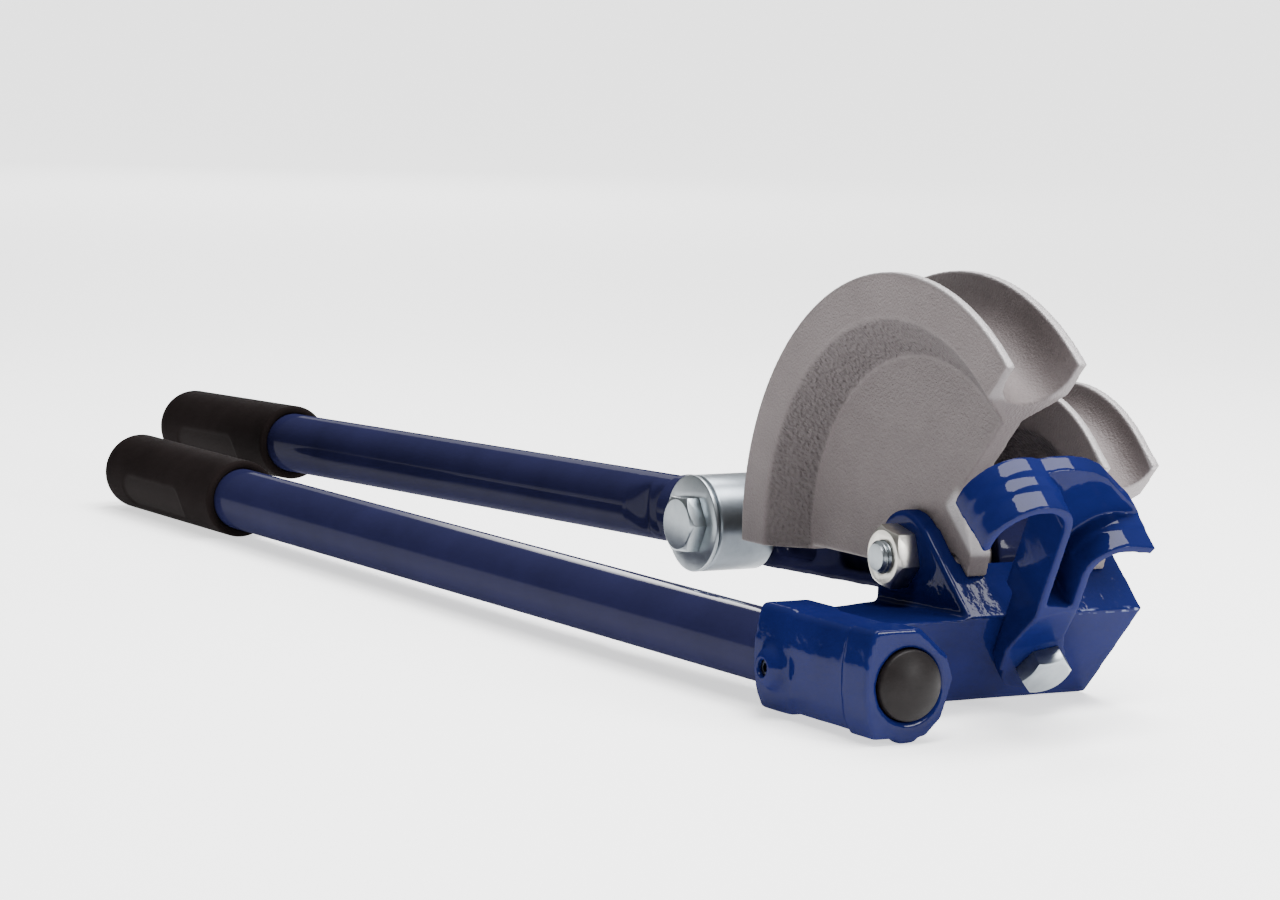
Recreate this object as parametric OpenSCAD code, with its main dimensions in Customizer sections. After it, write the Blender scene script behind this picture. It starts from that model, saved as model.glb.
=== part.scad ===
// Hand pipe bender with two fixed formers, a swinging lever with rollers and a swinging pipe stop.
// Millimetres. X runs along the fixed handle towards the head, Y away from the large former,
// Z up from the surface that the tool lies on.

/* [Pipes] */
// Outside diameter of the large pipe
pipe_large = 22; // [20:0.5:24]
// Outside diameter of the small pipe
pipe_small = 15; // [12:0.5:17]
// Bend radius of the large pipe, to its centre line
bend_large = 78.5; // [74:0.5:86]
// Bend radius of the small pipe, to its centre line
bend_small = 47.9; // [44:0.1:54]
// Room between a pipe and the stop's saddle
saddle_clearance = 0.1; // [0.05:0.05:0.2]

/* [Formers] */
// How far the large former's lips stand past the pipe's centre line
lip_rise_large = 5.8; // [3:0.1:8]
// How far the small former's lips stand past the pipe's centre line
lip_rise_small = 2.4; // [1.5:0.1:5]
// Lip thickness of the large former
lip_large = 3; // [2:0.1:5]
// Lip thickness of the small former
lip_small = 2.6; // [2:0.1:4]
// Flat depth of the large former's rim, from the lip inwards
rim_large = 13.5; // [10:0.5:17]
// Flat depth of the small former's rim, from the lip inwards
rim_small = 13.3; // [11:0.1:15]
// How far the underside of a rim runs inwards to the web
rim_slope = 11; // [8:0.5:13]
// Web thickness of both formers
web = 7; // [5:0.5:9]
// Straight end of the formers below the pivot's height
heel = 6; // [3:0.5:8]
// Straight end of the small former towards the stop
small_lead = 11; // [6:0.5:14]
// Step where that straight end leaves the curved rim
lead_step = 0.05; // [0.03:0.01:0.1]
// How far the webs' feet flare past the pivot towards the stop
foot_lead = 7; // [4:0.5:9]
// Radius of the bosses around the pivot bolt
boss_r = 13; // [11:0.5:14]
// Gap between the two formers, for the lever
former_gap = 18.3; // [14:0.1:24]

/* [Head casting] */
// Angle of the stop end of the formers above the handle's direction
stop_angle = 47.1; // [42:0.1:52]
// Radius of the ears around the pivot bolt
ear_r = 13.7; // [13:0.1:14.4]
// Distance from the pivot to the sloped seat that the formers stand on
seat_rise = 14.4; // [14.4:0.1:16]
// Thickness of the ear beside the large former
near_ear = 6; // [4:0.5:8]
// Thickness of the ear beside the small former
far_ear = 7; // [5:0.5:9]
// Distance from the pivot to the face that carries the stop
stop_face = 36; // [33:0.5:42]
// Distance from the pivot to the back of the formers' seat
seat_back = 15; // [13:0.5:15]
// How far the casting's back upper edge lies below the pivot
bar_drop = 15.4; // [14.5:0.1:17]
// How far the casting's back lower edge lies below the pivot
back_drop = 36; // [30:0.5:38]
// Room between the lever and the slot in the casting
slot_room = 1; // [0.6:0.1:2]

/* [Handle socket] */
// Distance of the fixed handle from the large former's side
handle_side = 33.2; // [30:0.1:42]
// How far the fixed handle's axis lies below the pivot
handle_drop = 27; // [26:0.1:30]
// Back end of the socket, forward of the pivot
socket_back = 1.6; // [0:0.1:6]
// Front end of the socket, from the pivot
socket_front = 62.3; // [56:0.1:70]
// Width across the socket's barrel
socket_w = 27.4; // [26.5:0.1:29]
// Width across the socket's end flanges
flange_w = 29; // [28:0.1:31]
// Length of the front flange
front_flange = 12.9; // [8:0.1:16]
// Length of the back flange
back_flange = 16.4; // [12:0.1:20]
// Foot below the front flange
foot_drop = 2.4; // [1:0.1:4]
// Half width of the foot at the flange
foot_half = 6.5; // [5:0.5:8]
// Length of the foot
foot_len = 5; // [3:0.5:8]
// Diameter of the lock screw's boss
lock_boss_d = 13.5; // [12:0.5:15]
// Length of the lock screw's boss past the flange
lock_boss = 3.8; // [3.5:0.1:5]
// How far the lock screw lies below the handle's axis
lock_low = 1.5; // [0:0.1:2]
// Diameter of the lock screw
lock_d = 5; // [4.5:0.5:6]
// Depth of the lock screw's head below the boss
lock_sink = 1.5; // [0.5:0.1:3]

/* [Handles] */
// Outside diameter of the handle tubes
tube_d = 22; // [20:0.5:24]
// Wall of the handle tubes
tube_wall = 1.5; // [1.2:0.1:2.5]
// Reach of the fixed handle behind the pivot
fixed_reach = 476.5; // [420:0.5:560]
// Reach of the moving handle from the pivot
moving_reach = 538.5; // [480:0.5:620]
// How far the moving handle droops at rest, in degrees
droop = 1.92; // [1:0.01:3]
// Depth of the dent that locks the moving tube to the lever
dent_depth = 3.35; // [2:0.05:4]
// Length of the dent's flat bottom
dent_flat = 14; // [10:0.5:18]
// Length over which the dent runs out
dent_run = 9; // [6:0.5:14]
// Diameter of the grips
grip_d = 28; // [26.5:0.5:31]
// Length of the grips
grip_len = 99; // [80:1:130]
// Wall at the closed end of the grips
grip_end = 8; // [5:0.5:12]
// Rounding of the closed end of the grips
grip_round = 9; // [5:0.5:11]

/* [Lever and rollers] */
// Half height of the lever
lever_half = 16; // [14.5:0.5:17]
// Side play of the lever between the formers
side_play = 0.35; // [0.3:0.05:0.5]
// Distance from the pivot to the large roller
roller_reach_large = 117; // [108:0.5:130]
// How far the large roller lies below the lever's middle
roller_drop = 0.9; // [0:0.1:1.5]
// Length of the large roller
large_roller_len = 21.6; // [18:0.2:24]
// Distance from the pivot to the small roller
roller_reach_small = 78.5; // [72:0.5:82]
// Distance from the large roller to the lever's collar
collar_gap = 19.5; // [18:0.5:24]
// Length of the lever's collar
collar_len = 10.5; // [6:0.5:16]
// Diameter of the lever's collar
collar_d = 24; // [23:0.5:25]
// Length of the lever's spigot inside the moving tube
spigot = 38; // [30:1:50]
// Depth of the pockets in the lever's sides
pocket_depth = 5; // [3:0.5:6]
// Rim left around the pockets
pocket_rim = 4.5; // [3:0.5:6]
// Half width of the rib that carries the small roller's bolt
rib_half = 7; // [6:0.5:9]
// Diameter of the rollers
roller_d = 31; // [28:0.5:33]
// Edge break of the rollers
roller_edge = 0.8; // [0.4:0.1:1.5]
// Outside diameter of the roller bushes
bush_d = 15; // [13:0.5:18]
// Diameter of the large bush's collar against the lever
bush_collar = 20; // [19:0.5:22]
// Thickness of the roller washers
roller_washer = 1.5; // [1:0.1:3]
// Running clearance of a shaft in its bore
running = 0.05; // [0.03:0.01:0.08]
// End play of a turning piece
end_play = 0.3; // [0.2:0.05:0.5]

/* [Stop] */
// Swing of the stop at rest, in degrees towards the fixed handle
stop_swing = 14.5; // [0:0.5:25]
// Distance from the stop's bolt to the left side of its leg
leg_left = 13.3; // [12:0.1:14.5]
// Distance from the stop's bolt to the right side of its leg, above its foot
leg_right = 1; // [0:0.1:3]
// Radius of the stop's foot around its bolt
foot_r = 10.3; // [9.5:0.1:11.5]
// Thickness of the stop's foot
foot_t = 6.5; // [5:0.5:9]
// How far the saddles reach forward of the casting's face
saddle_front = 14.5; // [12:0.5:18]
// How far the saddles reach back over the casting
saddle_back = 4; // [2:0.5:6]
// Wall of the saddles
saddle_wall = 2.9; // [2.2:0.1:3.4]
// Height of the steps along the back of the saddles
saddle_step = 0.4; // [0.2:0.1:0.6]
// Length of the straight lip at the large saddle's open end
lip_drop = 1; // [0.5:0.5:4]
// Length of the straight lip at the small saddle's open end
lip_out = 8.4; // [6:0.2:9]
// Angle at which the small saddle's arch runs out into its lip
lip_turn = 66; // [60:1:70]
// Step where a saddle's arch runs out into its straight lip
arch_step = 0.05; // [0.03:0.01:0.1]
// Thickness of the plate between the saddles
stop_plate = 6; // [5:0.5:8]

/* [Fasteners] */
// Pivot bolt diameter
pivot_d = 10; // [8:0.5:12]
// Width across the flats of the pivot bolt and nut
pivot_flats = 17; // [15:0.5:19]
// Height of the pivot bolt's head
pivot_head = 6.4; // [5:0.1:8]
// Thickness of the pivot nut
pivot_nut_t = 7; // [5:0.5:9]
// Turn of the pivot nut, in degrees
nut_turn = 12.6; // [0:0.1:60]
// Length of the pivot bolt past its nut
pivot_tail = 2.6; // [1:0.1:6]
// Outside diameter of the sleeve that the lever turns on
sleeve_d = 18; // [16:0.5:22]
// Roller bolt diameter
roller_bolt_d = 10; // [8:0.5:11]
// Width across the flats of the roller bolts
roller_flats = 17; // [15:0.5:18]
// Height of the roller bolts' heads
roller_head = 5.5; // [4:0.5:8]
// Thickness of the roller nut
roller_nut_t = 8; // [6:0.5:10]
// Thread of the small roller's bolt in the lever
small_bolt_thread = 12; // [9:0.5:13]
// Stop bolt diameter
stop_bolt_d = 8; // [6:0.5:10]
// Width across the flats of the stop bolt
stop_flats = 14; // [12:0.5:16]
// Height of the stop bolt's head
stop_head = 5.8; // [4:0.1:7]
// Thread of the stop bolt in the casting
stop_thread = 13; // [9:0.5:14]
// Clearance of a bolt in a plain hole
bolt_room = 0.1; // [0.05:0.05:0.2]

/* [Hidden] */
$fn = 96;
steel_blue = [0.09, 0.12, 0.42];
cast_grey = [0.55, 0.52, 0.50];
zinc = [0.78, 0.81, 0.84];
black = [0.08, 0.075, 0.07];
skin = 0.02;

// Depths along the pivot bolt, from the outer side of the large former
large_w = pipe_large + 2 * lip_large;
small_w = pipe_small + 2 * lip_small;
large_mid = large_w / 2;
small_from = large_w + former_gap;
small_mid = small_from + small_w / 2;
near_ear_to = large_mid - web / 2;
near_ear_from = near_ear_to - near_ear;
far_ear_from = small_mid + web / 2;
far_ear_to = far_ear_from + far_ear;
lever_from = large_w + side_play;
lever_to = small_from - side_play;
moving_y = lever_from - tube_d / 2;
stop_y = (near_ear_from + far_ear_to) / 2 - 2;

// Radii of the formers
lip_r_large = bend_large + lip_rise_large;
lip_r_small = bend_small + lip_rise_small;

// Head casting, in the pivot's frame
function outward(reach, along) = [reach * cos(stop_angle) + along * sin(stop_angle),
                                  reach * sin(stop_angle) - along * cos(stop_angle)];
prow = outward(seat_rise, stop_face);
flange_half = flange_w / 2;
boss_y = -handle_side - flange_half - lock_boss;
lock_x = socket_back + 0.66 * back_flange;
lock_z = -handle_drop - lock_low;
lock_dome = lock_boss_d * 0.533;
lock_flat = lock_d / 2 + 1.1;
plug_seat = 6;
plug_r = tube_d / 2 - 0.7;
plug_room = 0.3;
// Outline of the socket for a half width of one, flat towards the viewer and sloped on its far side
socket_ring = [[-0.78, 1.12], [0.24, 1.12], [0.89, 0.55], [1.06, 0.07], [0.79, -0.72], [0.43, -1.05],
               [-0.78, -1.05], [-0.94, -0.69], [-1.01, -0.2], [-1.01, 0.34], [-0.94, 0.76], [-0.87, 1.03]];
foot_back = socket_front - foot_len;
foot_z = -handle_drop - flange_half - foot_drop;

// Grips
grip_flat_r = grip_d / 2 - grip_round;
grip_bore_r = tube_d / 2 + skin;

// The tool lies on the front foot, the casting's lower edge and the fixed grip
grip_touch = fixed_reach - grip_round;
rest_tilt = atan((foot_drop + flange_half - grip_d / 2) / (foot_back + grip_touch));
floor_z = foot_back * sin(rest_tilt) + foot_z * cos(rest_tilt);
low_x = (foot_z + stop_face / cos(stop_angle)) / tan(stop_angle);
low_z = foot_z + (foot_back - low_x) * tan(rest_tilt);
low_reach = (low_z + stop_face * cos(stop_angle)) / sin(stop_angle);

// Stop, in its own frame: across, up the leg, and along the pipe from the casting's face
saddle_r_large = pipe_large / 2 + saddle_clearance;
saddle_r_small = pipe_small / 2 + saddle_clearance;
large_across = -leg_left - saddle_r_large;
small_across = leg_right + saddle_r_small;
large_arm = norm([stop_y - large_mid, bend_large]);
small_arm = norm([small_mid - stop_y, bend_small]);
large_up = sqrt(large_arm * large_arm - large_across * large_across);
small_up = sqrt(small_arm * small_arm - small_across * small_across);
back_wall = saddle_wall + 2 * saddle_step;
pocket_low = small_up - saddle_r_small - 8;

// Lever's collar, against which the moving tube ends
collar_start = roller_reach_large + collar_gap;
tube_start = collar_start + collar_len;

// Rollers
large_roller_from = large_mid - large_roller_len / 2;
large_roller_to = large_mid + large_roller_len / 2;
large_bush_from = large_roller_from - end_play;
large_bush_to = large_roller_to + end_play;
large_washer_from = large_bush_from - roller_washer;
small_roller_from = lever_to + end_play;
small_roller_to = 2 * small_mid - small_roller_from;
small_bush_to = small_roller_to + end_play;
small_washer_to = small_bush_to + roller_washer;

// The origin is the middle of the tool's box, on the surface that it lies on
lean = droop + rest_tilt;
x_low = -((moving_reach - grip_round) * cos(lean) + grip_flat_r * sin(lean) + grip_round);
large_reach = large_across * sin(stop_swing) + large_up * cos(stop_swing);
x_high = (large_reach + saddle_r_large + saddle_wall) * cos(stop_angle + rest_tilt)
       + (stop_face + saddle_front) * sin(stop_angle + rest_tilt);
y_high = far_ear_to + pivot_head;
origin = [-(x_low + x_high) / 2, -(boss_y + y_high) / 2, -floor_z];

// Frames
module on_tool() {
    translate(origin) rotate([0, -rest_tilt, 0]) children();
}

module on_lever() {
    on_tool() rotate([0, -droop, 0]) children();
}

// Across is Y, up is away from the pivot, and the third axis is along the pipe at the stop
module on_stop_line() {
    on_tool() rotate([0, 180 - stop_angle, 0]) rotate([0, 0, 90]) children();
}

module on_stop() {
    on_stop_line() translate([stop_y, 0, stop_face]) rotate([0, 0, stop_swing]) children();
}

// Shapes that repeat. An outline in X and Z, between two depths
module slab(y0, y1) {
    translate([0, y1, 0]) rotate([90, 0, 0]) linear_extrude(y1 - y0) children();
}

// A rod along Y, at a reach behind the pivot and a drop below it
module rod(r, y0, y1, reach = 0, drop = 0) {
    translate([-reach, y0, -drop]) rotate([-90, 0, 0]) cylinder(r = r, h = y1 - y0);
}

// An outline across the fixed handle, between two places along it
module along_handle(x0, x1) {
    translate([x0, -handle_side, -handle_drop]) rotate([90, 0, 90]) linear_extrude(x1 - x0) children();
}

// A hexagon whose outer corners are turned off, its washer face at z = 0
module hex_head(flats, h) {
    corner = flats / sqrt(3);
    break_h = (corner - flats / 2) * 0.9;
    intersection() {
        cylinder(r = corner, h = h, $fn = 6);
        rotate_extrude() polygon([[0, 0], [corner + 1, 0], [corner + 1, h - break_h - 0.6],
                                  [flats / 2 - 0.5, h], [0, h]]);
    }
}

module rounded_box(x0, x1, z0, z1, r) {
    translate([x0 + r, z0]) square([x1 - x0 - 2 * r, z1 - z0]);
    translate([x0, z0 + r]) square([x1 - x0, z1 - z0 - 2 * r]);
    for (x = [x0 + r, x1 - r], z = [z0 + r, z1 - r]) translate([x, z]) circle(r);
}

// Head casting
module ear_outline() {
    circle(ear_r);
    polygon([outward(seat_rise, 1), prow, [-ear_r, -bar_drop - 1], [-ear_r, 0], [0, 0]]);
}

module bar_outline() {
    polygon([prow, outward(low_reach, stop_face), [-ear_r, -back_drop], [-ear_r, -bar_drop]]);
}

module seat_outline() {
    top = outward(seat_rise, seat_back);
    polygon([prow, top, [top[0] - ear_r, prow[1] - 2], [prow[0] - 2, prow[1] - 2]]);
}

// Plan of the casting's part between the socket and the ears, open behind the slanted back edge
module bar_plan() {
    polygon([[socket_back - 1, -handle_side - 9], [socket_front, -handle_side - 9], [socket_front, far_ear_to + 1],
             [-ear_r - 1, far_ear_to + 1], [-ear_r - 1, near_ear_from]]);
}

module socket_outline(w) {
    polygon(socket_ring * w / 2);
}

module socket() {
    along_handle(socket_back, socket_front) socket_outline(socket_w);
    along_handle(socket_back, socket_back + back_flange) socket_outline(flange_w);
    along_handle(socket_front - front_flange, socket_front) socket_outline(flange_w);
    along_handle(foot_back, socket_front)
        polygon([[-foot_half, 2 - flange_half], [foot_half, 2 - flange_half],
                 [foot_half * 0.4, -flange_half - foot_drop], [-foot_half * 0.4, -flange_half - foot_drop]]);
    translate([lock_x, boss_y, lock_z]) rotate([-90, 0, 0]) intersection() {
        cylinder(d = lock_boss_d, h = lock_boss + flange_half - tube_d / 2 - 1);
        translate([0, 0, sqrt(lock_dome * lock_dome - lock_flat * lock_flat)]) sphere(lock_dome);
    }
}

module head_casting() {
    color(steel_blue) on_tool() difference() {
        union() {
            slab(near_ear_from, near_ear_to) ear_outline();
            slab(far_ear_from, far_ear_to) ear_outline();
            intersection() {
                slab(-handle_side, far_ear_to) bar_outline();
                translate([0, 0, -3 * back_drop]) linear_extrude(4 * back_drop) bar_plan();
            }
            slab(near_ear_from, far_ear_to) seat_outline();
            socket();
        }
        rod(pivot_d / 2 + bolt_room, near_ear_from - 1, far_ear_to + 1);
        rod(lever_half + slot_room, large_w, small_from);
        translate([-2 * ear_r, large_w, -lever_half - slot_room])
            cube([2 * ear_r, former_gap, lever_half + slot_room]);
        along_handle(-2 * ear_r, socket_front - plug_seat + bolt_room) circle(tube_d / 2 + bolt_room);
        along_handle(socket_front - plug_seat - 1, socket_front + 1) circle(plug_r + plug_room);
        translate([lock_x, boss_y - 1, lock_z]) rotate([-90, 0, 0])
            cylinder(r = lock_d / 2 + skin, h = lock_boss + flange_half);
        rotate([0, 180 - stop_angle, 0]) rotate([0, 0, 90])
            translate([stop_y, 0, stop_face - stop_thread - 1])
                cylinder(r = stop_bolt_d / 2 + skin, h = stop_thread + 2);
    }
}

// Fixed handle
module grip_shell() {
    rotate_extrude() difference() {
        union() {
            square([grip_d / 2 - grip_round, grip_len]);
            translate([0, grip_round]) square([grip_d / 2, grip_len - grip_round]);
            translate([grip_flat_r, grip_round]) circle(grip_round);
        }
        translate([0, grip_end]) square([grip_bore_r, grip_len]);
        translate([-2 * grip_d, -grip_d]) square([2 * grip_d, grip_len + 2 * grip_d]);
    }
}

module handle_tube(from, to) {
    difference() {
        translate([from, 0, 0]) rotate([0, 90, 0]) cylinder(d = tube_d, h = to - from);
        translate([from - 1, 0, 0]) rotate([0, 90, 0])
            cylinder(d = tube_d - 2 * tube_wall, h = to - from + 2);
    }
}

module fixed_handle_tube() {
    color(steel_blue) on_tool() translate([0, -handle_side, -handle_drop])
        handle_tube(grip_end - fixed_reach, socket_front - plug_seat);
}

module fixed_grip() {
    color(black) on_tool() translate([-fixed_reach, -handle_side, -handle_drop])
        rotate([0, 90, 0]) grip_shell();
}

module socket_plug() {
    head_r = plug_r;
    proud = 0.8;
    rim = plug_seat + proud;
    dome_r = 18;
    crown = dome_r - sqrt(dome_r * dome_r - head_r * head_r);
    color(black) on_tool() translate([socket_front - plug_seat, -handle_side, -handle_drop])
        rotate([0, 90, 0]) {
            cylinder(r = head_r, h = rim);
            translate([0, 0, -10]) cylinder(r = tube_d / 2 - tube_wall - skin, h = 11);
            intersection() {
                cylinder(r = head_r, h = rim + crown + 1);
                translate([0, 0, rim + crown - dome_r]) sphere(dome_r);
            }
        }
}

module lock_screw() {
    length = lock_boss + flange_half - tube_d / 2 - lock_sink - bolt_room;
    color(zinc) on_tool() translate([lock_x, boss_y + lock_sink, lock_z]) rotate([-90, 0, 0])
        difference() {
            cylinder(d = lock_d, h = length);
            translate([0, 0, -1]) cylinder(d = lock_d * 0.58, h = length / 2, $fn = 6);
        }
}

// Formers. The rim's section: distance from the pivot, and depth
module rim_section(bend, rise, pipe, lip, rim) {
    w = pipe + 2 * lip;
    lip_r = bend + rise;
    flat_r = lip_r - rim;
    root_r = flat_r - 1.1 * rim_slope * pipe / pipe_large;
    root = 1.1 * (w - web) / 2;
    difference() {
        polygon([[lip_r, 0], [lip_r, w], [flat_r, w], [root_r, w - root], [root_r, root], [flat_r, 0]]);
        translate([bend, w / 2]) circle(d = pipe);
        translate([bend, lip]) square([rise + 1, pipe]);
    }
}

// The web ends a step short of the rim's end, and its foot flares out on the casting's seat
module web_outline(r, lead) {
    low = 1.2 - heel;
    end = lead - lead_step;
    corner = [(end + low * cos(stop_angle)) / sin(stop_angle), low];
    intersection() {
        circle(r);
        polygon([[-2 * r, low], corner, outward(2 * r, end), [0, 4 * r], [-2 * r, 2 * r]]);
    }
    polygon([outward(seat_rise + 24, -8), outward(seat_rise + 11, foot_lead),
             outward(seat_rise + 7, foot_lead + 10.7),
             outward(seat_rise, foot_lead + 14), outward(seat_rise, foot_lead + 5), [0, 0]]);
}

module former(bend, rise, pipe, lip, rim, lead, boss_from, boss_to) {
    w = pipe + 2 * lip;
    web_r = bend + rise - rim - rim_slope * pipe / pipe_large;
    difference() {
        union() {
            rotate([-90, 0, 0]) rotate([0, 0, 180]) rotate_extrude(angle = 180 - stop_angle)
                rim_section(bend, rise, pipe, lip, rim);
            rotate([180, 0, 180]) linear_extrude(heel) rim_section(bend, rise, pipe, lip, rim);
            if (lead > 0)
                rotate([0, 180 - stop_angle, 0]) rotate([0, 0, 90]) mirror([1, -1, 0])
                    translate([0, lead_step, -1]) linear_extrude(lead + 1)
                        rim_section(bend, rise - lead_step, pipe + 2 * lead_step, lip - 2 * lead_step,
                                    rim - 4 * lead_step);
            slab(w / 2 - web / 2, w / 2 + web / 2) web_outline(web_r + 2, lead);
            rod(boss_r, boss_from, boss_to);
        }
        rod(pivot_d / 2 + bolt_room, -1, w + 1);
    }
}

module former_large() {
    color(cast_grey) on_tool()
        former(bend_large, lip_rise_large, pipe_large, lip_large, rim_large, 0, large_mid - web / 2, large_w);
}

module former_small() {
    color(cast_grey) on_tool() translate([0, small_from, 0])
        former(bend_small, lip_rise_small, pipe_small, lip_small, rim_small, small_lead, 0, small_w / 2 + web / 2);
}

// Pivot
module pivot_bolt() {
    color(zinc) on_tool() {
        rod(pivot_d / 2, near_ear_from - pivot_nut_t - pivot_tail, far_ear_to + 1);
        translate([0, far_ear_to, 0]) rotate([-90, 0, 0]) hex_head(pivot_flats, pivot_head);
    }
}

module pivot_nut() {
    color(zinc) on_tool() translate([0, near_ear_from, 0]) rotate([90, 0, 0]) rotate([0, 0, -nut_turn])
        difference() {
            hex_head(pivot_flats, pivot_nut_t);
            translate([0, 0, -1]) cylinder(r = pivot_d / 2 + skin, h = pivot_nut_t + 2);
        }
}

module pivot_sleeve() {
    color(zinc) on_tool() difference() {
        rod(sleeve_d / 2, large_w, small_from);
        rod(pivot_d / 2 + bolt_room, large_w - 1, small_from + 1);
    }
}

// Lever
module lever_bar() {
    half = lever_half - skin;
    tail = collar_d / 2 - 0.5;
    taper = roller_reach_large + 1;
    union() {
        rod(lever_half, lever_from, lever_to);
        slab(lever_from, lever_to)
            polygon([[0, half], [0, -half], [-taper, -half], [-collar_start, -tail], [-tube_start, -tail],
                     [-tube_start, tail], [-collar_start, tail], [-taper, half]]);
        translate([-tube_start, moving_y, -tail]) cube([collar_len, lever_to - moving_y, 2 * tail]);
        translate([-tube_start, moving_y, 0]) rotate([0, 90, 0]) cylinder(d = collar_d, h = collar_len);
        intersection() {
            translate([-tube_start - spigot, moving_y, 0]) rotate([0, 90, 0])
                cylinder(r = tube_d / 2 - tube_wall - skin, h = spigot + 1);
            dented(tube_wall + skin);
        }
    }
}

module lever_pockets() {
    half = lever_half - pocket_rim;
    rounded_box(-roller_reach_small + rib_half, -lever_half - 6, -half, half, 4);
    rounded_box(-roller_reach_large + roller_bolt_d / 2 + 2.5, -roller_reach_small - rib_half, -half, half, 4);
}

module lever() {
    color(steel_blue) on_lever() difference() {
        lever_bar();
        slab(lever_from - 1, lever_from + pocket_depth) lever_pockets();
        slab(lever_to - pocket_depth, lever_to + 1) lever_pockets();
        rod(sleeve_d / 2 + running, lever_from - 1, lever_to + 1);
        rod(roller_bolt_d / 2 + bolt_room, lever_from - 1, lever_to + 1, roller_reach_large, roller_drop);
        rod(roller_bolt_d / 2 + skin, lever_to - small_bolt_thread - 1, lever_to + 1, roller_reach_small);
    }
}

// Moving handle. The space around its tube, without what the dent pushes in, deeper by the given amount
module dented(deeper) {
    wall_y = moving_y - tube_d / 2;
    flat_to = tube_start + dent_flat;
    far_y = moving_y + 2 * tube_d;
    rise = dent_depth + deeper;
    translate([0, 0, -2 * tube_d]) linear_extrude(4 * tube_d)
        polygon([[1 - tube_start, wall_y + rise], [-flat_to, wall_y + rise],
                 [-flat_to - dent_run, wall_y + deeper], [-flat_to - dent_run, wall_y - tube_d],
                 [-2 * moving_reach, wall_y - tube_d], [-2 * moving_reach, far_y], [1 - tube_start, far_y]]);
}

module moving_handle_tube() {
    from = grip_end - moving_reach;
    to = -tube_start;
    color(steel_blue) on_lever() difference() {
        intersection() {
            translate([from, moving_y, 0]) rotate([0, 90, 0]) cylinder(d = tube_d, h = to - from);
            dented(0);
        }
        intersection() {
            translate([from - 1, moving_y, 0]) rotate([0, 90, 0])
                cylinder(d = tube_d - 2 * tube_wall, h = to - from + 2);
            dented(tube_wall);
        }
    }
}

module moving_grip() {
    color(black) on_lever() translate([-moving_reach, moving_y, 0]) rotate([0, 90, 0]) grip_shell();
}

// Rollers
module roller(from, to, reach, drop = 0) {
    r = roller_d / 2;
    e = roller_edge;
    h = to - from;
    bore = bush_d / 2 + running;
    translate([-reach, from, -drop]) rotate([-90, 0, 0]) rotate_extrude()
        polygon([[bore, 0], [r - e, 0], [r, e], [r, h - e], [r - e, h], [bore, h]]);
}

module ring(outer, inner, from, to, reach, drop = 0) {
    difference() {
        rod(outer, from, to, reach, drop);
        rod(inner, from - 1, to + 1, reach, drop);
    }
}

module large_roller() {
    color(zinc) on_lever() roller(large_roller_from, large_roller_to, roller_reach_large, roller_drop);
}

module large_roller_bush() {
    color(zinc) on_lever() difference() {
        union() {
            rod(bush_d / 2, large_bush_from, lever_from, roller_reach_large, roller_drop);
            rod(bush_collar / 2, large_bush_to, lever_from, roller_reach_large, roller_drop);
        }
        rod(roller_bolt_d / 2 + bolt_room, large_bush_from - 1, lever_from + 1, roller_reach_large, roller_drop);
    }
}

module large_roller_washer() {
    color(zinc) on_lever()
        ring(roller_d / 2, roller_bolt_d / 2 + bolt_room, large_washer_from, large_bush_from,
             roller_reach_large, roller_drop);
}

module large_roller_bolt() {
    color(zinc) on_lever() {
        rod(roller_bolt_d / 2, large_washer_from - 1, lever_to + roller_nut_t + 2, roller_reach_large, roller_drop);
        translate([-roller_reach_large, large_washer_from, -roller_drop]) rotate([90, 0, 0])
            hex_head(roller_flats, roller_head);
    }
}

module large_roller_nut() {
    color(zinc) on_lever() translate([-roller_reach_large, lever_to, -roller_drop]) rotate([-90, 0, 0])
        difference() {
            hex_head(roller_flats, roller_nut_t);
            translate([0, 0, -1]) cylinder(r = roller_bolt_d / 2 + skin, h = roller_nut_t + 2);
        }
}

module small_roller() {
    color(zinc) on_lever() roller(small_roller_from, small_roller_to, roller_reach_small);
}

module small_roller_bush() {
    color(zinc) on_lever()
        ring(bush_d / 2, roller_bolt_d / 2 + bolt_room, lever_to, small_bush_to, roller_reach_small);
}

module small_roller_washer() {
    color(zinc) on_lever()
        ring(roller_d / 2, roller_bolt_d / 2 + bolt_room, small_bush_to, small_washer_to, roller_reach_small);
}

module small_roller_bolt() {
    color(zinc) on_lever() {
        rod(roller_bolt_d / 2, lever_to - small_bolt_thread, small_washer_to + 1, roller_reach_small);
        translate([-roller_reach_small, small_washer_to, 0]) rotate([-90, 0, 0])
            hex_head(roller_flats, roller_head);
    }
}

// Stop. Half ring over a pipe, with its open side down
module arch(r, wall) {
    difference() {
        circle(r + wall);
        circle(r);
        translate([-2 * r, -2 * r - 2 * wall]) square([4 * r, 2 * r + 2 * wall]);
    }
}

// The small saddle's arch stops part way down its open side and runs straight on from there
module open_arch(r, wall) {
    difference() {
        arch(r, wall);
        polygon([[0, 0], 6 * r * [cos(lip_turn), sin(lip_turn)], [6 * r, 0], [3 * r, -3 * r]]);
    }
    rotate([0, 0, lip_turn]) translate([r + arch_step, -lip_out]) square([wall - 2 * arch_step, lip_out + 0.5]);
}

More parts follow.
